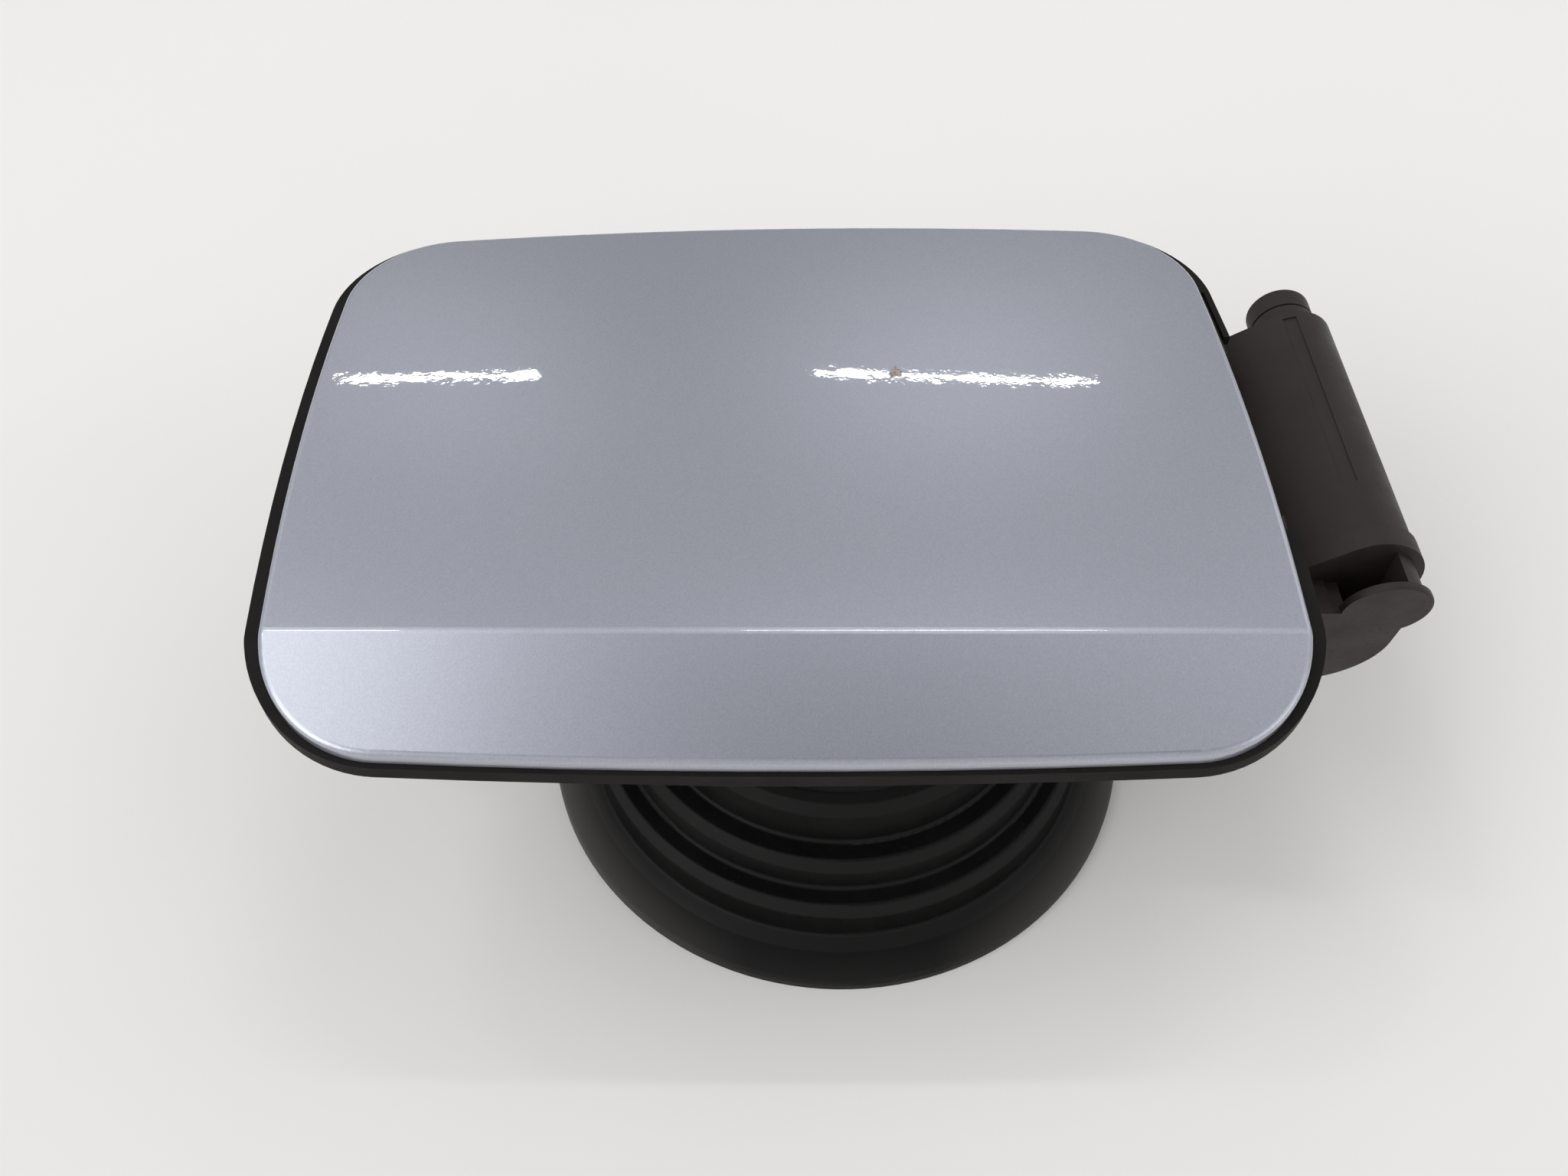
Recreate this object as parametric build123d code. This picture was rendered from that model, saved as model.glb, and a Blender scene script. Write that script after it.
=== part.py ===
from build123d import *
import math
import os

# Car fuel door: a hinged, painted door on its filler pot, which stands on a rubber boot. Millimetres.
# +X points to the hinge, +Y to the door's far edge and +Z out of the car's body. The origin is the
# middle of the boot's mouth, on the face that seals against the body.

# Door outline, given by its four corner points before they are rounded
door_width = 184.2
door_depth = 132.4
door_x = -13.2
door_y = 5.7
door_lean = 3.5
door_slant = 5.2
near_bow = 2.5
far_bow = 4.9
left_bow = 2.8
right_bow = 2.4
door_corner_radius = 23.5

# Door surface: a crowned field, a crease and a strip that falls away towards the near edge
strip_depth = 23.2
strip_drop = 7.0
crown_rise = 2.2
crease_radius = 6.0
surface_reach = 15.0

# Door sheets
skin_thickness = 0.8
hem_width = 8.0
hem_radius = 1.3
sheet_gap = 0.05
panel_thickness = 0.9
dish_depth = 4.0
dish_inset = 17.0
dish_near_inset = 30.0
dish_edge_radius = 2.4
panel_hole_radius = 9.5
panel_hole_spacing = 34.0
panel_hole_x = -32.0
panel_hole_y = 25.0

# Hinge axis, parallel to Y, placed from the door's right edge and its crease
hinge_offset = 22.4
hinge_depth = 15.7
pin_radius = 3.0
running_gap = 0.05
press_gap = 0.02

# Hinge pocket of the pot, in the axis's own X and Z
pocket_near = -14.6
pocket_far = 55.5
pocket_wall = 1.7
pocket_near_wall = 4.0
barrel_radius = 9.3
roof_left_x = -19.5
roof_left_z = -1.7
pocket_right_x = 5.0
pocket_floor_z = -26.0
pocket_corner_radius = 14.5
pocket_band_width = 5.0
pocket_band_height = 0.6
roof_groove_width = 3.0
roof_groove_depth = 0.45
roof_groove_angle = 16.0
roof_groove_near = 3.0
notch_x = -16.4
pin_seat_length = 3.0
far_boss_radius = 7.1
far_boss_length = 5.0

# Block on the pocket's near end, with a deep recess and a leaning end plate
block_radius = 8.0
block_right_x = 5.8
block_floor_z = -28.0
block_corner_radius = 16.0
block_tab_z = -0.8
block_recess_left = -9.4
block_recess_right = 2.4
end_plate_y = -23.3
end_plate_lean = 7.5
end_plate_thickness = 1.6
end_plate_radius = 8.6
end_plate_shift = 0.6
end_plate_edge = 0.5

# Hinge arm
arm_thickness = 3.0
arm_side_gap = 1.2
arm_heel_x = -20.5
arm_heel_z = -20.3
arm_elbow_z = -11.5
arm_leg_x = -28.5
arm_bend_radius = 9.0
arm_neck_far = 34.0
arm_screw_margin = 9.0
arm_screw_shares = (0.2, 0.5)
arm_pad_length = 34.0
arm_pad_thickness = 3.2
arm_rib_thickness = 2.0
arm_rib_share = 0.7
knuckle_radius = 7.0
bush_wall = 1.2

# Closing spring
spring_radius = 6.1
spring_wire = 1.4
spring_wire_sides = 8
spring_neck_angle = 270.0
spring_pitch = 1.6
spring_turns = 6
spring_leg_length = 6.0
spring_side_gap = 1.0
spring_y = 15.0

# Pin cap
pin_cap_length = 5.5
pin_cap_gap = 0.5
pin_cap_wall = 1.6
pin_cap_edge = 0.8

# Pot
pot_depth = 43.8
rim_drop = 3.6
rim_thickness = 1.4
rim_grow = 1.8
rim_near_grow = -0.7
opening_inset = 9.0
pot_wall = 2.2
pot_floor_inset = 24.0
pot_floor_near_inset = 21.0
pot_floor_corner_radius = 34.0
spigot_radius = 38.3
spigot_wall = 2.4
spigot_length = 8.0

# Rim seal
seal_drop = 2.9
seal_grow = 3.2
seal_near_grow = 0.7
seal_inset = 0.4
seal_lip = 0.8

# Lock bolt passage in the pot's left wall
lock_y = 8.0
lock_depth = 20.0
lock_bolt_radius = 4.2
grommet_wall = 2.0
grommet_lip = 1.6
grommet_lip_thickness = 1.8
lock_boss_wall = 2.4
lock_boss_reach = 3.9
lock_boss_length = 9.0

# Fixing ears on the pot's far wall
ear_spacing = 110.0
ear_offset = -6.8
ear_hole_radius = 2.75
ear_radius = 7.0
ear_thickness = 3.0
ear_depth = 20.0
ear_reach = 8.5
ear_web_thickness = 2.0
ear_web_depth = 22.0

# Drain nipple
drain_inset = 33.1
drain_y = -8.0
drain_radius = 5.0
drain_bore_radius = 3.4
drain_length = 14.0
drain_chamfer = 0.7

# Bump stops
stop_head_radius = 3.4
stop_stem_radius = 2.0
stop_gap = 0.4
stop_bulb = 0.3
stop_stem_length = 3.0
stop_inset = 5.2
stop_near_y = -30.0
stop_far_y = 46.0

# Latch hook
latch_inset = 21.1
latch_width = 20.0
latch_depth = 26.0
latch_thickness = 4.0
latch_foot = 22.0
latch_screw_share = 0.62
latch_foot_thickness = 3.0
latch_slot_height = 11.0
latch_slot_width = 11.0
latch_web_thickness = 1.6
latch_web_length = 5.0
latch_web_depth = 8.0

# Tank cap holder
holder_x = 8.0
holder_y = 42.0
holder_width = 16.0
holder_length = 26.0
holder_thickness = 2.6
holder_drop = 9.0
holder_gap = 6.5

# Screws
screw_radius = 2.4
screw_head_radius = 4.4
screw_head_height = 2.6
screw_recess_radius = 1.9
screw_recess_depth = 1.4
screw_end = 1.2
screw_hole_gap = 0.1

# Boot
boot_wall = 2.2
boot_rim_radius = 68.3
boot_rim_height = 2.6
boot_mouth_radius = 57.0
boot_mouth_height = 3.4
boot_groove_radius = 62.0
boot_height = 44.0
boot_groove_height = 4.6
boot_step_radii = (58.7, 52.3, 45.5)
boot_step_foot_shares = (0.145, 0.355, 0.536)
boot_step_top_shares = (0.291, 0.468, 0.727)
boot_step_draft = 0.8
boot_shoulder_width = 1.8
boot_shoulder_height = 2.4
boot_bend_radius = 1.1
boot_collar_foot = 8.6
boot_collar_wall = 2.6
clamp_width = 5.0
clamp_inset = 1.0
clamp_thickness = 1.0
clamp_ear_width = 6.0
clamp_ear_height = 7.0

# Sizes that follow from those above
near_edge = door_y - door_depth / 2 - near_bow
far_edge = door_y + door_depth / 2 + far_bow
right_edge = door_x + door_width / 2 + right_bow
left_edge = door_x - door_width / 2 - left_bow
pot_floor_bottom = boot_height
pot_floor_top = pot_floor_bottom + pot_wall
crease_height = pot_floor_top + pot_depth
hinge_x = right_edge + hinge_offset
hinge_z = crease_height - hinge_depth
lock_z = crease_height - lock_depth
lock_boss_end_x = left_edge - lock_boss_reach
latch_x = left_edge + latch_inset
drain_x = left_edge + drain_inset
ear_top = crease_height - ear_depth
ear_middle_x = door_x + ear_offset
crease_y = near_edge + strip_depth
panel_drop = skin_thickness + sheet_gap
hem_depth = 2 * panel_drop + panel_thickness
panel_bottom = panel_drop + dish_depth + panel_thickness
arm_drop = panel_bottom + sheet_gap
room_near = pocket_near + pocket_near_wall
room_far = pocket_far - pocket_wall
arm_near = room_near + arm_side_gap
arm_far = room_far - arm_side_gap
spring_room = spring_turns * spring_pitch + spring_pitch + 2 * spring_side_gap
bush_radius = pin_radius + running_gap + bush_wall


def bowed(start, end, bow):
    """The middle of an edge from start to end, moved out of the outline by bow."""
    along = Vector(*end) - Vector(*start)
    outward = Vector(along.Y, -along.X).normalized()
    return (Vector(*start) + Vector(*end)) / 2 + outward * bow


def outline(grow, near_grow=None, radius=None):
    """The door's outline with its sides moved out by grow, and its near side by near_grow."""
    near_grow = grow if near_grow is None else near_grow
    left = door_x - door_width / 2 - grow
    right = door_x + door_width / 2 + grow
    near = door_y - door_depth / 2 - near_grow
    far = door_y + door_depth / 2 + grow
    near_left = (left + door_lean / 2, near)
    near_right = (right + door_lean / 2, near)
    far_right = (right - door_lean / 2, far + door_slant / 2)
    far_left = (left - door_lean / 2, far - door_slant / 2)
    with BuildSketch() as sketch:
        with BuildLine():
            ThreePointArc(near_left, bowed(near_left, near_right, near_bow), near_right)
            ThreePointArc(near_right, bowed(near_right, far_right, right_bow), far_right)
            ThreePointArc(far_right, bowed(far_right, far_left, far_bow), far_left)
            ThreePointArc(far_left, bowed(far_left, near_left, left_bow), near_left)
        make_face()
        fillet(sketch.vertices(), door_corner_radius + grow if radius is None else radius)
    return sketch.sketch


def upright(sketch):
    """The sketch as a tall prism through the whole door."""
    return extrude(Pos(0, 0, crease_height) * sketch, amount=crease_height / 2, both=True)


def layer(top, bottom):
    """The space between two copies of the door's surface, let down by top and by bottom."""
    near = near_edge - surface_reach
    far = far_edge + surface_reach
    strip_slope = strip_drop / strip_depth
    near_height = crease_height - strip_slope * (crease_y - near)
    middle = (crease_y + far) / 2
    with BuildSketch(Plane.YZ) as section:
        with BuildLine():
            Line((near, near_height - top), (crease_y, crease_height - top))
            ThreePointArc(
                (crease_y, crease_height - top),
                (middle, crease_height + crown_rise - top),
                (far, crease_height - top),
            )
            Line((far, crease_height - top), (far, crease_height - bottom))
            ThreePointArc(
                (far, crease_height - bottom),
                (middle, crease_height + crown_rise - bottom),
                (crease_y, crease_height - bottom),
            )
            Line((crease_y, crease_height - bottom), (near, near_height - bottom))
            Line((near, near_height - bottom), (near, near_height - top))
        make_face()
        at_crease = section.vertices().filter_by(lambda corner: abs(corner.X - crease_y) < sheet_gap)
        fillet(at_crease, crease_radius)
    return extrude(section.sketch, amount=door_width, both=True)


def surface_height(y):
    """Height of the door's surface on the crowned field, at y."""
    far = far_edge + surface_reach
    half = (far - crease_y) / 2
    radius = (half**2 + crown_rise**2) / (2 * crown_rise)
    from_middle = y - (crease_y + far) / 2
    return crease_height + crown_rise - radius + math.sqrt(radius**2 - from_middle**2)


def across(sketch, near, far):
    """A sketch in the hinge axis's X and Z, run along Y from near to far."""
    plane = Plane(origin=(hinge_x, far, hinge_z), x_dir=(1, 0, 0), z_dir=(0, -1, 0))
    return extrude(plane * sketch, amount=far - near)


def along_hinge(radius, near, far):
    """A round bar on the hinge axis from near to far."""
    return across(Circle(radius), near, far)


def standing(radius, x, y, bottom, top):
    """An upright round bar."""
    return Pos(x, y, (bottom + top) / 2) * Cylinder(radius, top - bottom)


def block(x, y, z):
    """A block between the given pairs of limits."""
    middle = Pos((x[0] + x[1]) / 2, (y[0] + y[1]) / 2, (z[0] + z[1]) / 2)
    return middle * Box(x[1] - x[0], y[1] - y[0], z[1] - z[0])


def border_edges(solid, facing):
    """The edges round the solid's upper faces, or its lower ones where facing is -1."""
    faces = solid.faces().filter_by(lambda face: face.normal_at().Z * facing > 0.5)
    edges = [edge for face in faces for edge in face.edges()]
    return ShapeList(edge for edge in edges if sum(edge.is_same(other) for other in edges) == 1)


def door_skin():
    """Painted outer sheet: crowned field, crease, rounded edge and a hem folded in under the edge."""
    blank = layer(0, hem_depth) & upright(outline(0))
    blank = fillet(border_edges(blank, 1), hem_radius)
    channel = layer(skin_thickness, hem_depth - skin_thickness) & upright(outline(-skin_thickness))
    mouth = layer(hem_depth / 2, 2 * hem_depth) & upright(outline(-hem_width))
    return blank - channel - mouth


def door_inner_panel():
    """Pressed inner sheet: its flat border lies in the hem, its middle is dished down to the arm."""
    border = skin_thickness + sheet_gap
    sheet = layer(panel_drop, panel_drop + panel_thickness) & upright(outline(-border))
    dish = layer(panel_drop, panel_bottom) & upright(outline(-dish_inset, -dish_near_inset))
    dish = fillet(border_edges(dish, -1), dish_edge_radius)
    hollow = layer(0, panel_bottom - panel_thickness) & upright(
        outline(-dish_inset - panel_thickness, -dish_near_inset - panel_thickness)
    )
    panel = sheet + dish - hollow
    for step in (-1, 0, 1):
        hole = Pos(panel_hole_x + step * panel_hole_spacing, panel_hole_y) * Circle(panel_hole_radius)
        panel -= upright(hole)
    for x, y in arm_screw_places() + latch_screw_places():
        panel -= upright(Pos(x, y) * Circle(screw_radius + screw_hole_gap))
    return panel


def arm_screw_places():
    """Where the arm is screwed to the inner panel."""
    pad_left = hinge_x + arm_leg_x - arm_pad_length
    rows = (arm_near + arm_screw_margin, arm_neck_far - arm_screw_margin)
    columns = [pad_left + arm_pad_length * share for share in arm_screw_shares]
    return [(x, y) for x in columns for y in rows]


def latch_screw_places():
    """Where the latch hook is screwed to the inner panel."""
    x = latch_x + latch_foot * latch_screw_share
    return [(x, lock_y + side * latch_width / 4) for side in (-1, 1)]


def screw_seat(y, plate_bottom):
    """Height of the flat that a screw's head pulls up to, under a plate of the given drop."""
    return surface_height(y) - plate_bottom + screw_hole_gap


def screw_holes(places, plate_bottom):
    """Clearance holes and spot faces for the screws."""
    holes = []
    for x, y in places:
        seat = screw_seat(y, plate_bottom)
        hole = standing(screw_radius + screw_hole_gap, x, y, seat, crease_height)
        face = standing(screw_head_radius + screw_hole_gap, x, y, seat - screw_head_height, seat)
        holes.append(hole + face)
    return holes


def screws(places, plate_bottom):
    """Pan-head screws driven up through a plate of the given drop, and through the inner panel."""
    group = []
    for x, y in places:
        seat = screw_seat(y, plate_bottom)
        top = surface_height(y) - panel_bottom + panel_thickness + screw_end
        head = standing(screw_head_radius, x, y, seat - screw_head_height, seat)
        head = fillet(border_edges(head, -1), screw_head_height / 3)
        recess = Pos(x, y, seat - screw_head_height) * extrude(
            RegularPolygon(screw_recess_radius, 6), amount=screw_recess_depth
        )
        group.append(head + standing(screw_radius, x, y, seat - screw_end, top) - recess)
    return Compound(children=group)


def arm_path():
    """The gooseneck's middle line, from the hinge axis down, round under the rim and up to the door."""
    return [
        (0, 0),
        (0, arm_heel_z),
        (arm_heel_x, arm_heel_z),
        (arm_leg_x, arm_elbow_z),
        (arm_leg_x, hinge_depth),
    ]


def hinge_arm():
    """Moulded gooseneck: two knuckles on the pin, a neck round the rim and a pad under the door."""
    path = FilletPolyline(*arm_path(), radius=arm_bend_radius)
    neck = across(make_face(offset(path, arm_thickness / 2, side=Side.BOTH)), arm_near, arm_neck_far)
    pad_left = hinge_x + arm_leg_x - arm_pad_length
    pad_right = hinge_x + arm_leg_x + arm_thickness / 2
    pad = layer(arm_drop, arm_drop + arm_pad_thickness) & block(
        (pad_left, pad_right), (arm_near, arm_neck_far), (hinge_z, crease_height + crown_rise)
    )
    rib = Polyline(
        (arm_leg_x, 0),
        (arm_leg_x, hinge_depth - arm_drop - arm_pad_thickness / 2),
        (arm_leg_x - arm_pad_length * arm_rib_share, hinge_depth - arm_drop - arm_pad_thickness / 2),
        close=True,
    )
    arm = neck + pad
    rib_near = arm_near + arm_rib_thickness
    rib_far = arm_neck_far - arm_rib_thickness
    for middle in (rib_near, (rib_near + rib_far) / 2, rib_far):
        arm += across(make_face(rib), middle - arm_rib_thickness / 2, middle + arm_rib_thickness / 2)
    arm -= layer(-crease_height / 2, arm_drop)
    arm += along_hinge(knuckle_radius, arm_near, arm_far)
    room = spring_radius + spring_wire / 2 + spring_side_gap
    arm -= along_hinge(room, spring_y - spring_room / 2, spring_y + spring_room / 2)
    arm -= along_hinge(bush_radius + press_gap, arm_near, arm_far)
    for hole in screw_holes(arm_screw_places(), arm_drop + arm_pad_thickness):
        arm -= hole
    return arm


def hinge_bush(near, far):
    """Plain bush that lines a knuckle and runs on the pin."""
    return along_hinge(bush_radius, near, far) - along_hinge(pin_radius + running_gap, near, far)


def pocket_body(right, floor, corner, top):
    """Lower part of the pocket's section, from the bowl to its round outer corner."""
    under_rim = hinge_depth - rim_drop - rim_thickness / 2
    bowl_top_x = right_edge - opening_inset - hinge_x
    bowl_bottom_x = right_edge - pot_floor_inset - hinge_x
    with BuildSketch() as sketch:
        Polygon(
            (right, top),
            (right, floor),
            (bowl_bottom_x, floor),
            (bowl_top_x, under_rim),
            (-hinge_offset, under_rim),
            (-hinge_offset, top),
            align=None,
        )
        fillet(sketch.vertices().sort_by_distance((right, floor, 0))[0], corner)
    return sketch.sketch


def pocket_profile():
    """Outside of the hinge pocket, seen along the axis: roof, barrel and the lower part round the arm."""
    eaves = (roof_left_x, roof_left_z)
    body = pocket_body(pocket_right_x, pocket_floor_z, pocket_corner_radius, roof_left_z)
    roof = Polygon(eaves, (0, roof_left_z), touch(eaves), align=None)
    return body + roof + Circle(barrel_radius)


def block_profile():
    """Outside of the block on the pocket's near end, seen along the axis."""
    body = pocket_body(block_right_x, block_floor_z, block_corner_radius, block_tab_z)
    return body + Circle(block_radius)


def touch(point):
    """Where the roof's line from the point touches the barrel."""
    turn = math.acos(barrel_radius / math.hypot(*point))
    angle = math.atan2(point[1], point[0]) % math.tau - turn
    return (barrel_radius * math.cos(angle), barrel_radius * math.sin(angle))


def pot_bowl():
    """Bowl under the door, with its floor, before the neck's hole is cut."""
    top = Pos(0, 0, crease_height) * outline(-opening_inset)
    floor = Pos(0, 0, pot_floor_top) * outline(
        -pot_floor_inset, -pot_floor_near_inset, pot_floor_corner_radius
    )
    outer_top = Pos(0, 0, crease_height) * outline(-opening_inset + pot_wall)
    outer_floor = Pos(0, 0, pot_floor_bottom) * outline(
        pot_wall - pot_floor_inset, pot_wall - pot_floor_near_inset, pot_floor_corner_radius + pot_wall
    )
    return loft([outer_floor, outer_top], ruled=True), loft([floor, top], ruled=True)


def filler_pot():
    """Moulded pot: rim flange, bowl, neck spigot, hinge pocket, lock boss, fixing ears and drain."""
    outer, inner = pot_bowl()
    flange = layer(rim_drop, rim_drop + rim_thickness) & upright(outline(rim_grow, rim_near_grow))
    profile = pocket_profile()
    pot = outer + flange + across(profile, pocket_near, pocket_far)
    pot += pocket_band(profile)
    pot += end_block()
    pot += lock_boss()
    pot += fixing_ears()
    pot += standing(spigot_radius, 0, 0, pot_floor_bottom - spigot_length, pot_floor_top)
    pot += drain_nipple()
    pot -= inner
    pot -= layer(-crease_height / 2, rim_drop)
    pot -= pocket_room(profile)
    pot -= block_recess()
    pot -= roof_groove()
    pot += along_hinge(far_boss_radius, pocket_far, pocket_far + far_boss_length)
    pot -= along_hinge(pin_radius + press_gap, room_near - pin_seat_length, arm_near)
    pot -= along_hinge(pin_radius + press_gap, arm_far, pocket_far + far_boss_length)
    bore_bottom = pot_floor_bottom - spigot_length
    pot -= standing(spigot_radius - spigot_wall, 0, 0, bore_bottom, pot_floor_top)
    pot -= standing(drain_bore_radius, drain_x, drain_y, pot_floor_bottom - drain_length, pot_floor_top)
    bore = lock_bolt_radius + grommet_wall
    pot -= Pos(lock_boss_end_x + lock_boss_length, lock_y, lock_z) * Rot(Y=90) * Cylinder(
        bore, 3 * lock_boss_length
    )
    for x in ear_places():
        pot -= standing(ear_hole_radius, x, ear_line(), ear_top - ear_thickness, ear_top)
    for y in (stop_near_y, stop_far_y):
        pot -= upright(Pos(stop_x(y), y) * Circle(stop_stem_radius + press_gap))
    return pot


def flat(left, right, bottom, top):
    """A rectangle between limits."""
    return Pos((left + right) / 2, (bottom + top) / 2) * Rectangle(right - left, top - bottom)


def pocket_band(profile):
    """Raised band round the roof and the barrel at the pocket's near end."""
    grown = offset(profile, pocket_band_height)
    kept = flat(roof_left_x, 2 * barrel_radius, roof_left_z, 2 * barrel_radius)
    return across(grown & kept, pocket_near, pocket_near + pocket_band_width)


def pocket_room(profile):
    """Hollow of the pocket, open to the bowl and up through the rim where the arm's neck passes."""
    left = right_edge - 2 * pot_floor_inset - hinge_x
    way = flat(left, notch_x, pocket_floor_z + pocket_wall, hinge_depth)
    way = across(way, room_near, arm_neck_far + arm_side_gap)
    return across(offset(profile, -pocket_wall), room_near, room_far) + way


def behind_end_plate(depth):
    """The space behind the leaning end plate's front, from the given depth on."""
    reach = 4 * barrel_radius
    leaning = Pos(hinge_x, end_plate_y, hinge_z) * Rot(X=end_plate_lean)
    return leaning * Pos(0, depth + reach, 0) * Box(2 * door_width, 2 * reach, 4 * reach)


def end_block():
    """Block on the pocket's near end, closed by a leaning plate with a round head."""
    near = end_plate_y - barrel_radius
    body = across(block_profile(), near, pocket_near) & behind_end_plate(0)
    head = across(Pos(end_plate_shift, 0) * Circle(end_plate_radius), near, pocket_near)
    head = head & behind_end_plate(0) - behind_end_plate(end_plate_thickness)
    head = fillet(head.faces().sort_by(Axis.Y)[0].edges(), end_plate_edge)
    return body + head


def block_recess():
    """Deep recess in the block, and the core beside it that opens into the bowl."""
    near = end_plate_y - barrel_radius
    inside = offset(block_profile(), -pocket_wall)
    well = inside & flat(block_recess_left, block_recess_right, block_floor_z, block_tab_z)
    well += flat(block_recess_left, block_recess_right, 2 * block_tab_z, barrel_radius)
    core_right = block_recess_left - pocket_wall
    core_left = right_edge - 2 * pot_floor_inset - hinge_x
    core = flat(core_left, core_right, block_floor_z + pocket_wall, block_tab_z - pocket_wall)
    hollow = across(well, near, pocket_near) + across(core, near, pocket_near)
    return hollow & behind_end_plate(end_plate_thickness)


def roof_groove():
    """Shallow channel along the barrel, left of its top."""
    channel = Pos(0, barrel_radius) * Rectangle(roof_groove_width, 2 * roof_groove_depth)
    return across(Rot(Z=roof_groove_angle) * channel, roof_groove_near, room_far)


def lock_boss():
    """Boss on the pot's left wall that the lock's bolt comes through."""
    radius = lock_bolt_radius + grommet_wall + lock_boss_wall
    length = 2.5 * lock_boss_length
    return Pos(lock_boss_end_x + length / 2, lock_y, lock_z) * Rot(Y=90) * Cylinder(radius, length)


def ear_places():
    """Places of the fixing ears' holes along X."""
    return (ear_middle_x - ear_spacing / 2, ear_middle_x + ear_spacing / 2)


def ear_line():
    """Y of the fixing ears' holes, just outside the bowl's far wall."""
    return far_edge - far_bow - opening_inset + pot_wall + ear_reach / 2


def fixing_ears():
    """Two round-ended ears with screw holes."""
    ears = []
    for x in ear_places():
        inward = ear_line() - 3 * ear_radius
        ear_bottom = ear_top - ear_thickness
        tongue = block((x - ear_radius, x + ear_radius), (inward, ear_line()), (ear_bottom, ear_top))
        web = Polygon(
            (ear_line() - ear_hole_radius - ear_web_thickness, ear_bottom),
            (inward, ear_bottom),
            (inward, ear_bottom - ear_web_depth),
            align=None,
        )
        web_plane = Plane(origin=(x, 0, 0), x_dir=(0, 1, 0), z_dir=(1, 0, 0))
        web = extrude(web_plane * web, amount=ear_web_thickness / 2, both=True)
        ears.append(tongue + web + standing(ear_radius, x, ear_line(), ear_bottom, ear_top))
    return ears[0] + ears[1]


def drain_nipple():
    """Nipple under the bowl's floor that a drain hose pushes on to."""
    tube = standing(drain_radius, drain_x, drain_y, pot_floor_bottom - drain_length, pot_floor_top)
    return chamfer(border_edges(tube, -1), drain_chamfer)


def rim_seal():
    """Rubber lip that grips the rim flange's edge all round, up to the hinge pocket's two ends."""
    bottom = rim_drop + rim_thickness + seal_lip
    ring = layer(seal_drop, bottom) & upright(outline(seal_grow, seal_near_grow))
    ring -= upright(outline(seal_inset, seal_inset - seal_grow + seal_near_grow))
    slot = layer(rim_drop - sheet_gap, rim_drop + rim_thickness + sheet_gap)
    ring -= slot & upright(outline(rim_grow + sheet_gap, rim_near_grow + sheet_gap))
    break_x = (right_edge - seal_grow, right_edge + 2 * seal_grow)
    break_y = (pocket_near, pocket_far)
    return ring - block(break_x, break_y, (hinge_z, crease_height))


def stop_x(y):
    """X of a bump stop, on the rim flange just inside the door's bowed left edge."""
    share = (y - door_y) / (door_depth / 2)
    straight = door_x - door_width / 2 - share * door_lean / 2
    return straight - left_bow * (1 - share**2) + stop_inset


def bump_stop(y):
    """Rubber button in the rim flange that holds the shut door off the rim."""
    x = stop_x(y)
    head = layer(hem_depth + stop_gap, rim_drop) & upright(Pos(x, y) * Circle(stop_head_radius))
    stem = layer(rim_drop, rim_drop + rim_thickness) & upright(Pos(x, y) * Circle(stop_stem_radius))
    bulb_drop = rim_drop + rim_thickness
    bulb = layer(bulb_drop, bulb_drop + stop_stem_length)
    bulb &= upright(Pos(x, y) * Circle(stop_stem_radius + stop_bulb))
    return head + stem + bulb


def hinge_pin():
    """Plain steel pin through the pocket, the spring and both knuckles."""
    near = room_near - pin_seat_length + press_gap
    far = pocket_far + far_boss_length + pin_cap_gap + pin_cap_length - pin_cap_wall
    return along_hinge(pin_radius, near, far)


def pin_cap():
    """Round head pushed on to the pin's far end."""
    near = pocket_far + far_boss_length + pin_cap_gap
    cap = along_hinge(far_boss_radius, near, near + pin_cap_length)
    cap = fillet(cap.edges().group_by(Axis.Y)[-1], pin_cap_edge)
    return cap - along_hinge(pin_radius + press_gap, near, near + pin_cap_length - pin_cap_wall)


def torsion_spring():
    """Closing spring: a coil about the pin, one leg on the arm's neck and one under the pocket's roof."""
    roof_touch = touch((roof_left_x, roof_left_z))
    roof_angle = math.degrees(math.atan2(roof_touch[1], roof_touch[0]))
    on_arm = arm_thickness / 2 + spring_wire / 2 + 2 * running_gap
    start = spring_neck_angle - math.degrees(math.asin(on_arm / spring_radius))
    height = (spring_turns + (roof_angle - start) / 360) * spring_pitch
    plane = Plane(
        origin=(hinge_x, spring_y - height / 2, hinge_z),
        x_dir=(math.cos(math.radians(start)), 0, math.sin(math.radians(start))),
        z_dir=(0, 1, 0),
    )
    path = plane * Helix(spring_pitch, height, spring_radius, lefthand=True)
    wire = RegularPolygon(spring_wire / 2, spring_wire_sides)
    coil = sweep(Plane(origin=path @ 0, z_dir=path % 0) * wire, path=path)
    roof_leg = extrude(Plane(origin=path @ 1, z_dir=path % 1) * wire, amount=spring_leg_length)
    neck_leg = extrude(Plane(origin=path @ 0, z_dir=(0, 0, -1)) * wire, amount=spring_leg_length)
    knee = Pos(*(path @ 0)) * Sphere(spring_wire / 2)
    return coil + roof_leg + knee + neck_leg


def lock_grommet():
    """Flanged rubber sleeve in the lock boss."""
    inner = lock_bolt_radius
    outer = lock_bolt_radius + grommet_wall - press_gap
    length = lock_boss_length
    sleeve = Pos(lock_boss_end_x + length / 2, lock_y, lock_z) * Rot(Y=90) * Cylinder(outer, length)
    lip = Pos(lock_boss_end_x - grommet_lip_thickness / 2, lock_y, lock_z) * Rot(Y=90) * Cylinder(
        outer + grommet_lip, grommet_lip_thickness
    )
    bore = Pos(lock_boss_end_x, lock_y, lock_z) * Rot(Y=90) * Cylinder(inner, 3 * length)
    return sleeve + lip - bore


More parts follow.
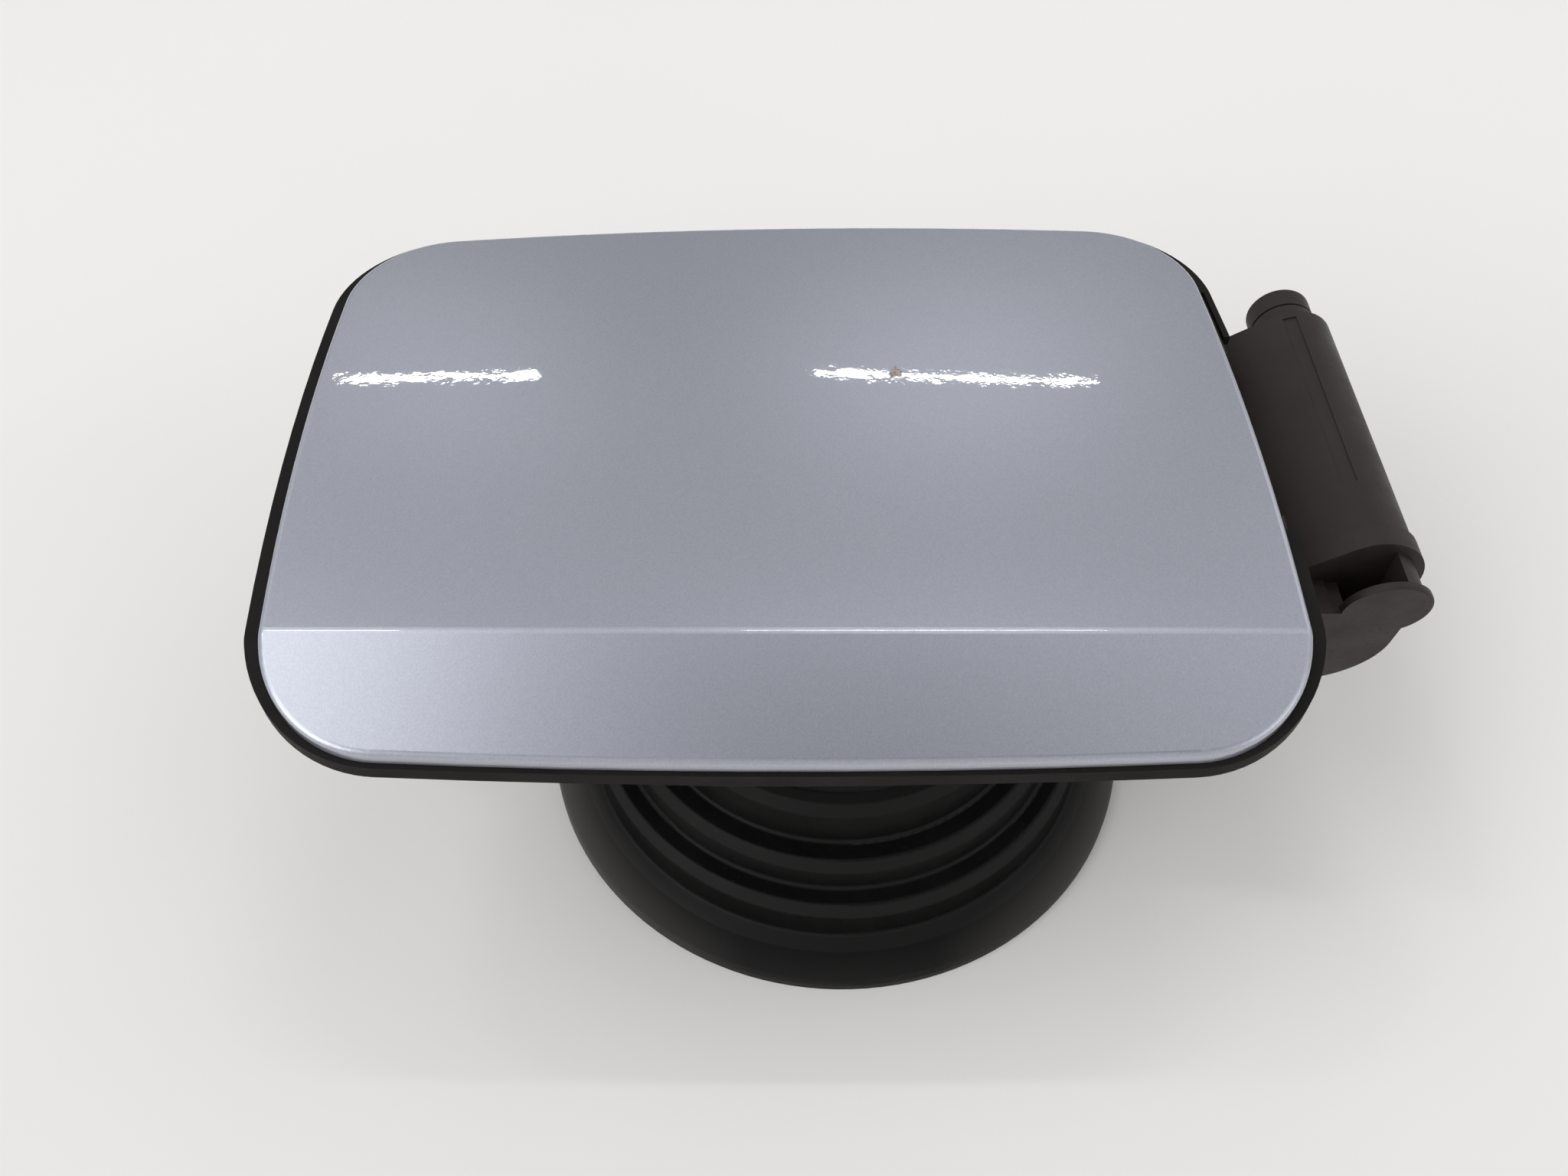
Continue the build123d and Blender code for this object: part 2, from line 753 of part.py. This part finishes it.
def latch_hook():
    """Catch under the door: a foot on the inner panel and a leg with a slot for the lock's bolt."""
    top = surface_height(lock_y)
    foot = layer(arm_drop, arm_drop + latch_foot_thickness) & block(
        (latch_x, latch_x + latch_foot),
        (lock_y - latch_width / 2, lock_y + latch_width / 2),
        (hinge_z, top),
    )
    leg = block(
        (latch_x, latch_x + latch_thickness),
        (lock_y - latch_width / 2, lock_y + latch_width / 2),
        (top - arm_drop - latch_depth, top - arm_drop - latch_foot_thickness / 2),
    )
    slot = block(
        (latch_x - latch_thickness, latch_x + 2 * latch_thickness),
        (lock_y - latch_slot_width / 2, lock_y + latch_slot_width / 2),
        (lock_z - latch_slot_height / 2, lock_z + latch_slot_height / 2),
    )
    under_foot = top - arm_drop - latch_foot_thickness
    web = Polygon(
        (latch_x + latch_thickness / 2, under_foot + latch_foot_thickness / 2),
        (latch_x + latch_thickness + latch_web_length, under_foot + latch_foot_thickness / 2),
        (latch_x + latch_thickness / 2, under_foot - latch_web_depth),
        align=None,
    )
    hook = foot + leg - slot
    for side in (-1, 1):
        middle = lock_y + side * (latch_width - latch_web_thickness) / 2
        upright_plane = Plane(origin=(0, middle, 0), x_dir=(1, 0, 0), z_dir=(0, -1, 0))
        hook += extrude(upright_plane * web, amount=latch_web_thickness / 2, both=True)
    for hole in screw_holes(latch_screw_places(), arm_drop + latch_foot_thickness):
        hook -= hole
    return hook


def cap_holder():
    """Clip under the door: a foot and a forked tongue that the tank cap's grip hangs on."""
    top = surface_height(holder_y) - arm_drop
    foot = layer(arm_drop, arm_drop + holder_thickness) & block(
        (holder_x, holder_x + holder_length),
        (holder_y - holder_width / 2, holder_y + holder_width / 2),
        (hinge_z, crease_height + crown_rise),
    )
    web = block(
        (holder_x, holder_x + holder_thickness),
        (holder_y - holder_width / 2, holder_y + holder_width / 2),
        (top - holder_drop - holder_thickness, top - holder_thickness / 2),
    )
    tongue = block(
        (holder_x, holder_x + holder_length),
        (holder_y - holder_width / 2, holder_y + holder_width / 2),
        (top - holder_drop - holder_thickness, top - holder_drop),
    )
    fork = Pos(holder_x + holder_length, holder_y) * SlotOverall(holder_length, holder_gap)
    return foot + web + (tongue - upright(fork))


def boot_outside():
    """Outside of the boot from its mouth up: flange, groove, three steps and the collar's foot."""
    points = [
        (boot_rim_radius, 0),
        (boot_rim_radius, boot_rim_height),
        (boot_groove_radius, boot_groove_height),
    ]
    for radius, foot, top in zip(boot_step_radii, boot_step_foot_shares, boot_step_top_shares):
        nose = radius - boot_step_draft
        points.append((radius, foot * boot_height))
        points.append((nose, top * boot_height))
        points.append((nose - boot_shoulder_width, top * boot_height + boot_shoulder_height))
    return points + [(spigot_radius + boot_collar_wall, boot_height - boot_collar_foot)]


def filler_boot():
    """Rubber boot: a wide mouth flange, stepped bellows and a collar on the pot's spigot."""
    outside = boot_outside()
    collar_bottom = pot_floor_bottom - spigot_length
    collar_top = pot_floor_bottom - running_gap
    inside = [(radius - boot_wall, height - boot_wall / 2) for radius, height in outside[2:-1]]
    inside[0] = (boot_mouth_radius, boot_mouth_height)
    section = Polyline(
        *outside,
        (spigot_radius + boot_collar_wall, collar_top),
        (spigot_radius + press_gap, collar_top),
        (spigot_radius + press_gap, collar_bottom - boot_wall),
        *reversed(inside),
        (boot_mouth_radius, 0),
        close=True,
    )
    face = make_face(section)
    bends = [face.vertices().sort_by_distance((*point, 0))[0] for point in outside[1:-1]]
    return revolve(Plane.XZ * fillet(bends, boot_bend_radius), Axis.Z)


def boot_clamp():
    """Band clamp round the boot's collar, with a pinched ear."""
    inner = spigot_radius + boot_collar_wall + press_gap
    top = pot_floor_bottom - clamp_inset
    bottom = top - clamp_width
    band = standing(inner + clamp_thickness, 0, 0, bottom, top) - standing(inner, 0, 0, bottom, top)
    ear = block(
        (-clamp_ear_width / 2, clamp_ear_width / 2),
        (inner + clamp_thickness / 2, inner + clamp_ear_height),
        (bottom, top),
    )
    slit = block(
        (-clamp_thickness / 2, clamp_thickness / 2),
        (inner + clamp_thickness, inner + 2 * clamp_ear_height),
        (bottom, top),
    )
    return band + ear - slit


near_knuckle = (arm_near, spring_y - spring_room / 2)
far_knuckle = (spring_y + spring_room / 2, arm_far)
parts = {
    "door_skin": door_skin(),
    "door_inner_panel": door_inner_panel(),
    "hinge_arm": hinge_arm(),
    "arm_screws": screws(arm_screw_places(), arm_drop + arm_pad_thickness),
    "hinge_bush_near": hinge_bush(*near_knuckle),
    "hinge_bush_far": hinge_bush(*far_knuckle),
    "latch_hook": latch_hook(),
    "latch_screws": screws(latch_screw_places(), arm_drop + latch_foot_thickness),
    "cap_holder": cap_holder(),
    "filler_pot": filler_pot(),
    "rim_seal": rim_seal(),
    "bump_stop_near": bump_stop(stop_near_y),
    "bump_stop_far": bump_stop(stop_far_y),
    "hinge_pin": hinge_pin(),
    "pin_cap": pin_cap(),
    "torsion_spring": torsion_spring(),
    "lock_grommet": lock_grommet(),
    "filler_boot": filler_boot(),
    "boot_clamp": boot_clamp(),
}

os.makedirs("parts", exist_ok=True)
for name, part in parts.items():
    export_step(part, os.path.join("parts", name + ".step"))
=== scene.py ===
"""Looks of the car fuel door: camera, light, floor, a material for every piece, and the end of the seal's run."""

import math

import bpy
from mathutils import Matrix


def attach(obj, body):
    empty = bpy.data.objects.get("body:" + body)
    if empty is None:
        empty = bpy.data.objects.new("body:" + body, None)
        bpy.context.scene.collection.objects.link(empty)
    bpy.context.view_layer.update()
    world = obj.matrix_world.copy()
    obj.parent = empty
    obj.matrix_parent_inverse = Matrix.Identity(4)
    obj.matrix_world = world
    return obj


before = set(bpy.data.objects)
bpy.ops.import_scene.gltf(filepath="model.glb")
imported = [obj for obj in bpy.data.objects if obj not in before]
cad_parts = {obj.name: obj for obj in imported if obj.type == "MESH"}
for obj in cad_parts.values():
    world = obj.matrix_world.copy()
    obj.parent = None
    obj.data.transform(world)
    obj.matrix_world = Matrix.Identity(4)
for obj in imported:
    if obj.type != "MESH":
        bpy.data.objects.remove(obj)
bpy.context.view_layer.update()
scene = bpy.context.scene
scene.view_settings.view_transform = "Standard"

# Photograph's view
IMAGE_WIDTH = 2048
FOCAL_PIXELS = 1750
SENSOR_WIDTH = 36.0
CAMERA_PLACE = (-0.0124, -0.1836, 0.2781)
CAMERA_PITCH = 50.8

# Mark in the paint: a chip on the door's field
CHIP_PLACE = (0.0106, 0.0254, 0.0922)
CHIP_RADIUS = 0.0014
CHIP_GRAIN = 2500
CHIP_HEIGHT = 0.0003

# Fine texture: noise scales per metre, heights in metres
PAINT_FLAKES = 5200
FLAKE_HEIGHT = 0.000006
INSIDE_FLAKES = 2200
ORANGE_PEEL = 420
PEEL_HEIGHT = 0.00001
INSIDE_PEEL_HEIGHT = 0.000006
DUST_PATCHES = 38
DUST_SPECKS = 1400
RUBBING = (60, 900, 400)
MOULD_HEIGHT = 0.00004
DRAWING = (500, 60, 500)
DRAWING_HEIGHT = 0.00001

# Seal's outer edge past the hinge pocket's far end
POCKET_FAR = 0.0555
SEAL_RUN_END = 0.040
SEAL_EDGE_WIDTH = 0.0013
SEAL_EDGE_HEIGHT = 0.0021
SEAL_LEAN = 0.078
SEAL_CLIMB = 0.022
END_TOLERANCE = 0.00001

# Boot, for the painted highlight on its flange
BOOT_STEP_RADIUS = 0.0587
BOOT_FLANGE_RADIUS = 0.0683

# Room light: an even base, and patches given by direction, the cosines between which they fade in, and brightness
ROOM_TINT = (0.985, 0.99, 1.0, 1)
ROOM_BASE = 0.385
ROOM_PATCHES = (
    ((0, -0.8, -0.6), -0.7, 0.7, 0.3),  # near side
    ((-0.52, 0.02, 0.854), 0.93, 1.0, 2.6),  # ceiling at the left
    ((0.46, 0.02, 0.888), 0.92, 1.0, 0.6),  # ceiling at the right
    ((0.12, -0.14, 0.983), 0.88, 1.0, -0.36),  # darker ceiling overhead
    ((-0.74, -0.46, 0.49), 0.87, 1.0, 3.0),  # near left
    ((0.82, -0.36, 0.445), 0.9, 1.0, 1.3),  # near right
    ((0.72, 0.45, 0.53), 0.88, 1.0, 0.8),  # far right
    ((-0.66, 0.5, 0.56), 0.9, 1.0, 0.5),  # far left
)

# Ceiling lamps: name, the two ends in x and y, radiance and width
LAMP_HEIGHT = 1.6
CEILING_LAMPS = (
    ("tube_left", (-0.842, 1.679), (-0.473, 1.704), 28, 0.0225),
    ("tube_right", (0.042, 1.713), (0.568, 1.668), 28, 0.0225),
    ("tube_over_left", (-0.723, 0.41), (-0.535, 0.41), 50, 0.03),
    ("tube_over_right", (-0.072, 0.41), (0.427, 0.41), 33, 0.03),
    ("panel_over", (-1.0, 0.44), (0.9, 0.44), 0.2, 0.2),
)
FLOOR_HALF = 3.0

# Colours, linear
PAINT = (0.408, 0.423, 0.487, 1)
PAINT_INSIDE = (0.30, 0.305, 0.33, 1)
CHIP = (0.40, 0.30, 0.25, 1)
CHIP_DARK = (0.15, 0.13, 0.10, 1)
POT_PLASTIC = (0.0205, 0.0146, 0.013, 1)
POT_DUST = (0.062, 0.053, 0.047, 1)
ARM_PLASTIC = (0.017, 0.017, 0.018, 1)
ARM_DUST = (0.05, 0.046, 0.042, 1)
SEAL_RUBBER = (0.0072, 0.006, 0.0057, 1)
SEAL_DUST = (0.04, 0.034, 0.03, 1)
BOOT_RUBBER = (0.0048, 0.0044, 0.0042, 1)
# Colour of the boot's dust, also used for the painted highlight on its flange and bends
BOOT_DUST_AND_HIGHLIGHT = (0.11, 0.104, 0.1, 1)
ZINC = (0.56, 0.55, 0.52, 1)
SPRING_STEEL = (0.030, 0.030, 0.032, 1)
BUSH_PLASTIC = (0.58, 0.55, 0.47, 1)
FLOOR = (0.855, 0.836, 0.812, 1)


class Nodes:
    """A node tree with short calls for the nodes that the materials use."""

    def __init__(self, tree):
        self.tree = tree
        tree.nodes.clear()

    def add(self, kind, inputs=None, **settings):
        node = self.tree.nodes.new(kind)
        for name, value in settings.items():
            setattr(node, name, value)
        for name, value in (inputs or {}).items():
            self.put(node.inputs[name], value)
        return node

    def put(self, socket, value):
        if isinstance(value, bpy.types.NodeSocket):
            self.tree.links.new(value, socket)
        else:
            socket.default_value = value

    def place(self):
        return self.add("ShaderNodeTexCoord").outputs["Object"]

    def noise(self, scale, detail=2.0, rough=0.5, vector=None):
        node = self.add("ShaderNodeTexNoise", {"Scale": scale, "Detail": detail, "Roughness": rough})
        self.put(node.inputs["Vector"], vector or self.place())
        return node.outputs["Fac"]

    def cells(self, scale):
        node = self.add("ShaderNodeTexVoronoi", {"Scale": scale, "Vector": self.place()})
        grey = self.add("ShaderNodeRGBToBW", {"Color": node.outputs["Color"]})
        return grey.outputs["Val"]

    def span(self, value, low, high, to_low=0.0, to_high=1.0):
        limits = {"From Min": low, "From Max": high, "To Min": to_low, "To Max": to_high, "Value": value}
        return self.add("ShaderNodeMapRange", limits).outputs["Result"]

    def maths(self, operation, a, b=0.0):
        node = self.add("ShaderNodeMath", operation=operation)
        self.put(node.inputs[0], a)
        self.put(node.inputs[1], b)
        return node.outputs["Value"]

    def mix(self, factor, a, b, blend="MIX"):
        node = self.add("ShaderNodeMix", data_type="RGBA", blend_type=blend)
        self.put(node.inputs["Factor"], factor)
        self.put(node.inputs["A"], a)
        self.put(node.inputs["B"], b)
        return node.outputs["Result"]

    def bump(self, height, distance, strength=1.0, normal=None):
        node = self.add("ShaderNodeBump", {"Height": height, "Distance": distance, "Strength": strength})
        if normal:
            self.put(node.inputs["Normal"], normal)
        return node.outputs["Normal"]

    def toned(self, colour, tone):
        """The colour made lighter or darker by a factor."""
        shade = self.add("ShaderNodeCombineColor", {"Red": tone, "Green": tone, "Blue": tone})
        return self.mix(1.0, colour, shade.outputs["Color"], "MULTIPLY")

    def shade(self, inputs):
        shader = self.add("ShaderNodeBsdfPrincipled", inputs)
        self.add("ShaderNodeOutputMaterial", {"Surface": shader.outputs["BSDF"]})


def new_material(name):
    material = bpy.data.materials.new(name)
    material.use_nodes = True
    return material, Nodes(material.node_tree)


def paint():
    """Metallic paint under a clear coat: flakes, a little cloudiness, orange peel and one chip."""
    material, n = new_material("metallic_paint")
    flakes = n.span(n.cells(PAINT_FLAKES), 0.15, 0.85, 0.93, 1.07)
    clouds = n.span(n.noise(14, 3), 0.3, 0.7, 0.985, 1.015)
    colour = n.toned(PAINT, n.maths("MULTIPLY", flakes, clouds))
    offset = n.add("ShaderNodeVectorMath", operation="DISTANCE")
    n.put(offset.inputs[0], n.place())
    offset.inputs[1].default_value = CHIP_PLACE
    ragged = n.maths("MULTIPLY", n.span(n.noise(900, 3), 0.2, 0.8, 0.4, 1.6), offset.outputs["Value"])
    chip = n.span(ragged, CHIP_RADIUS, 0.8 * CHIP_RADIUS)
    bare = n.mix(n.span(n.noise(1300, 2), 0.45, 0.6), CHIP, CHIP_DARK)
    peel = n.bump(n.noise(ORANGE_PEEL, 2), PEEL_HEIGHT)
    broken = n.bump(n.maths("MULTIPLY", chip, n.noise(CHIP_GRAIN, 2)), CHIP_HEIGHT, 1.0, peel)
    n.shade(
        {
            "Base Color": n.mix(chip, colour, bare),
            "Metallic": n.span(chip, 0, 1, 0.8, 0.0),
            "Roughness": n.span(chip, 0, 1, 0.34, 0.7),
            "Normal": n.bump(n.cells(PAINT_FLAKES), FLAKE_HEIGHT, 0.25),
            "Coat Weight": 1.0,
            "Coat Roughness": 0.02,
            "Coat IOR": 1.5,
            "Coat Normal": broken,
        }
    )
    return material


def paint_inside():
    """Thinner overspray on the inner sheet, duller and dusty."""
    material, n = new_material("paint_inside")
    colour = n.toned(PAINT_INSIDE, n.span(n.cells(INSIDE_FLAKES), 0.15, 0.85, 0.9, 1.1))
    dust = n.span(n.noise(45, 6, 0.65), 0.5, 0.75, 0.0, 0.5)
    n.shade(
        {
            "Base Color": n.mix(dust, colour, POT_DUST),
            "Metallic": n.span(dust, 0, 0.5, 0.55, 0.1),
            "Roughness": n.span(n.noise(60, 4), 0.3, 0.7, 0.4, 0.6),
            "Normal": n.bump(n.noise(ORANGE_PEEL, 2), INSIDE_PEEL_HEIGHT),
        }
    )
    return material


def boot_painted_highlight(n):
    """Painted highlight on the boot: a little on its upward-facing bends, and most at the two sides of the
    flange, clear of the pot.
    """
    parts = n.add("ShaderNodeSeparateXYZ", {"Vector": n.place()})
    aside = n.maths("ABSOLUTE", parts.outputs["X"])
    squares = n.maths("ADD", n.maths("POWER", aside, 2.0), n.maths("POWER", parts.outputs["Y"], 2.0))
    outside = n.span(n.maths("SQRT", squares), BOOT_STEP_RADIUS, BOOT_FLANGE_RADIUS, 0.0, 0.9)
    # Painted highlight: the flange made lighter towards its left and right sides, where the side light falls
    sides = n.span(aside, 0.3 * BOOT_FLANGE_RADIUS, BOOT_FLANGE_RADIUS, 0.12, 1.0)
    normal = n.add("ShaderNodeNewGeometry").outputs["Normal"]
    upward = n.add("ShaderNodeSeparateXYZ", {"Vector": normal}).outputs["Z"]
    # Painted highlight: bends that face upwards made lighter
    bends = n.maths("MULTIPLY", n.span(upward, 0.2, 0.6, 0.0, 0.07), n.span(upward, 0.99, 0.85))
    return n.maths("MAXIMUM", n.maths("MULTIPLY", outside, sides), bends)


def moulded(name, colour, dust_and_highlight_colour, *, grain, roughness, dustiness, shine=0.4, painted_light=None):
    """Moulded plastic or rubber: fine grain, dust that gathers in patches, faint rubbing marks, and a painted
    highlight where one is given.
    """
    material, n = new_material(name)
    patches = n.span(n.noise(DUST_PATCHES, 7, 0.68), 0.45, 0.8, 0.0, dustiness)
    specks = n.span(n.noise(DUST_SPECKS, 2), 0.62, 0.72, 0.0, dustiness)
    dust = n.maths("MAXIMUM", patches, specks)
    # Where a painted highlight is given, it joins the dust mask here and lightens the colour the same way
    if painted_light:
        dust = n.maths("MAXIMUM", dust, painted_light(n))
    stretch = n.add("ShaderNodeMapping", {"Vector": n.place(), "Scale": RUBBING})
    rubbed = n.span(n.noise(1, 3, 0.6, stretch.outputs["Vector"]), 0.62, 0.75, 0.0, 0.12)
    height = n.maths("ADD", n.noise(grain, 3), rubbed)
    rough = n.maths("ADD", n.span(n.noise(120, 4), 0.3, 0.7, roughness - 0.06, roughness + 0.06), dust)
    n.shade(
        {
            "Base Color": n.mix(dust, colour, dust_and_highlight_colour),
            "Roughness": n.maths("MINIMUM", rough, 0.9),
            "Specular IOR Level": shine,
            "Normal": n.bump(height, MOULD_HEIGHT, 0.5),
        }
    )
    return material


def metal(name, colour, roughness):
    """Plated or blackened steel with fine drawing marks."""
    material, n = new_material(name)
    stretch = n.add("ShaderNodeMapping", {"Vector": n.place(), "Scale": DRAWING})
    marks = n.noise(1, 4, 0.6, stretch.outputs["Vector"])
    n.shade(
        {
            "Base Color": n.toned(colour, n.span(n.noise(70, 5), 0.3, 0.7, 0.82, 1.08)),
            "Metallic": 1.0,
            "Roughness": n.span(marks, 0.3, 0.7, roughness - 0.07, roughness + 0.1),
            "Normal": n.bump(marks, DRAWING_HEIGHT, 0.4),
        }
    )
    return material


def floor_material():
    """Plain pale table top."""
    material, n = new_material("pale_floor")
    n.shade(
        {
            "Base Color": n.toned(FLOOR, n.span(n.noise(3, 4), 0.3, 0.7, 0.985, 1.015)),
            "Roughness": 0.6,
            "Specular IOR Level": 0.2,
        }
    )
    return material


def dress(materials):
    """Gives each CAD node its material."""
    for material, nodes in materials:
        for node in nodes:
            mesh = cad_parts[node].data
            mesh.materials.clear()
            mesh.materials.append(material)


def make_seal_run(material):
    """The seal's outer edge, which runs on along the door to where the hinge pocket hides it."""
    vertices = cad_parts["rim_seal"].data.vertices
    cut = [v.co for v in vertices if v.co.x > 0 and abs(v.co.y - POCKET_FAR) < END_TOLERANCE]
    outer = max(point.x for point in cut)
    top = max(point.z for point in cut)
    corners = []
    for run in (0.0, POCKET_FAR - SEAL_RUN_END):
        right = outer + run * SEAL_LEAN
        left = right - SEAL_EDGE_WIDTH
        upper = top + run * SEAL_CLIMB
        lower = upper - SEAL_EDGE_HEIGHT
        section = ((left, lower), (right, lower), (right, upper), (left, upper))
        corners += [(x, POCKET_FAR - run, z) for x, z in section]
    faces = [(0, 1, 5, 4), (1, 2, 6, 5), (2, 3, 7, 6), (3, 0, 4, 7), (0, 3, 2, 1), (4, 5, 6, 7)]
    mesh = bpy.data.meshes.new("seal_run")
    mesh.from_pydata(corners, [], faces)
    mesh.materials.append(material)
    piece = bpy.data.objects.new("seal_run", mesh)
    scene.collection.objects.link(piece)
    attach(piece, "pot")


def make_camera():
    camera = bpy.data.objects.new("camera", bpy.data.cameras.new("camera"))
    camera.data.sensor_fit = "HORIZONTAL"
    camera.data.sensor_width = SENSOR_WIDTH
    camera.data.lens = FOCAL_PIXELS * SENSOR_WIDTH / IMAGE_WIDTH
    camera.data.clip_start = 0.01
    camera.location = CAMERA_PLACE
    camera.rotation_euler = (math.radians(90 - CAMERA_PITCH), 0, 0)
    scene.collection.objects.link(camera)
    scene.camera = camera


def make_floor():
    half = FLOOR_HALF
    corners = [(-half, -half, 0), (half, -half, 0), (half, half, 0), (-half, half, 0)]
    mesh = bpy.data.meshes.new("floor")
    mesh.from_pydata(corners, [], [(0, 1, 2, 3)])
    mesh.materials.append(floor_material())
    floor = bpy.data.objects.new("floor", mesh)
    scene.collection.objects.link(floor)


def make_lamp(name, start, end, radiance, width):
    """A ceiling lamp that faces the table."""
    along = [b - a for a, b in zip(start, end)]
    length = math.hypot(*along)
    lamp = bpy.data.lights.new(name, "AREA")
    lamp.shape = "RECTANGLE"
    lamp.size = length
    lamp.size_y = width
    lamp.energy = radiance * math.pi * length * width
    piece = bpy.data.objects.new(name, lamp)
    middle_x, middle_y = [(a + b) / 2 for a, b in zip(start, end)]
    piece.location = (middle_x, middle_y, LAMP_HEIGHT)
    piece.rotation_euler = (-math.atan2(middle_y, LAMP_HEIGHT), 0, math.atan2(along[1], along[0]))
    scene.collection.objects.link(piece)


def make_world():
    """Soft room light: even all round, with the patches added."""
    world = bpy.data.worlds.new("room")
    scene.world = world
    world.use_nodes = True
    n = Nodes(world.node_tree)
    direction = n.add("ShaderNodeTexCoord").outputs["Generated"]

    def patch(centre, start, end, strength):
        towards = n.add("ShaderNodeVectorMath", operation="DOT_PRODUCT")
        n.put(towards.inputs[0], direction)
        towards.inputs[1].default_value = centre
        limits = {"Value": towards.outputs["Value"], "From Min": start, "From Max": end, "To Max": strength}
        return n.add("ShaderNodeMapRange", limits, interpolation_type="SMOOTHSTEP").outputs["Result"]

    strength = ROOM_BASE
    for centre, start, end, brightness in ROOM_PATCHES:
        strength = n.maths("ADD", patch(centre, start, end, brightness), strength)
    background = n.add("ShaderNodeBackground", {"Color": ROOM_TINT, "Strength": strength})
    n.add("ShaderNodeOutputWorld", {"Surface": background.outputs["Background"]})


make_camera()
make_floor()
make_world()
for lamp_values in CEILING_LAMPS:
    make_lamp(*lamp_values)
arm_plastic = moulded("arm_plastic", ARM_PLASTIC, ARM_DUST, grain=1500, roughness=0.5, dustiness=0.35)
pot_plastic = moulded(
    "pot_plastic", POT_PLASTIC, POT_DUST, grain=1300, roughness=0.46, dustiness=0.3, shine=0.27
)
bush_plastic = moulded("bush_plastic", BUSH_PLASTIC, POT_DUST, grain=1500, roughness=0.4, dustiness=0.15)
seal_rubber = moulded(
    "seal_rubber", SEAL_RUBBER, SEAL_DUST, grain=900, roughness=0.58, dustiness=0.3, shine=0.13
)
# The boot's flange and upward bends carry a painted highlight on top of its dust
boot_rubber = moulded(
    "boot_rubber",
    BOOT_RUBBER,
    BOOT_DUST_AND_HIGHLIGHT,
    grain=1100,
    roughness=0.42,
    dustiness=0.05,
    shine=0.1,
    painted_light=boot_painted_highlight,
)
make_seal_run(seal_rubber)
dress(
    [
        (paint(), ["door_skin"]),
        (paint_inside(), ["door_inner_panel"]),
        (arm_plastic, ["hinge_arm", "latch_hook", "cap_holder"]),
        (pot_plastic, ["filler_pot", "pin_cap"]),
        (bush_plastic, ["hinge_bush_near", "hinge_bush_far"]),
        (seal_rubber, ["rim_seal", "bump_stop_near", "bump_stop_far", "lock_grommet"]),
        (boot_rubber, ["filler_boot"]),
        (metal("zinc_plate", ZINC, 0.32), ["arm_screws", "latch_screws", "hinge_pin"]),
        (metal("spring_steel", SPRING_STEEL, 0.34), ["torsion_spring", "boot_clamp"]),
    ]
)
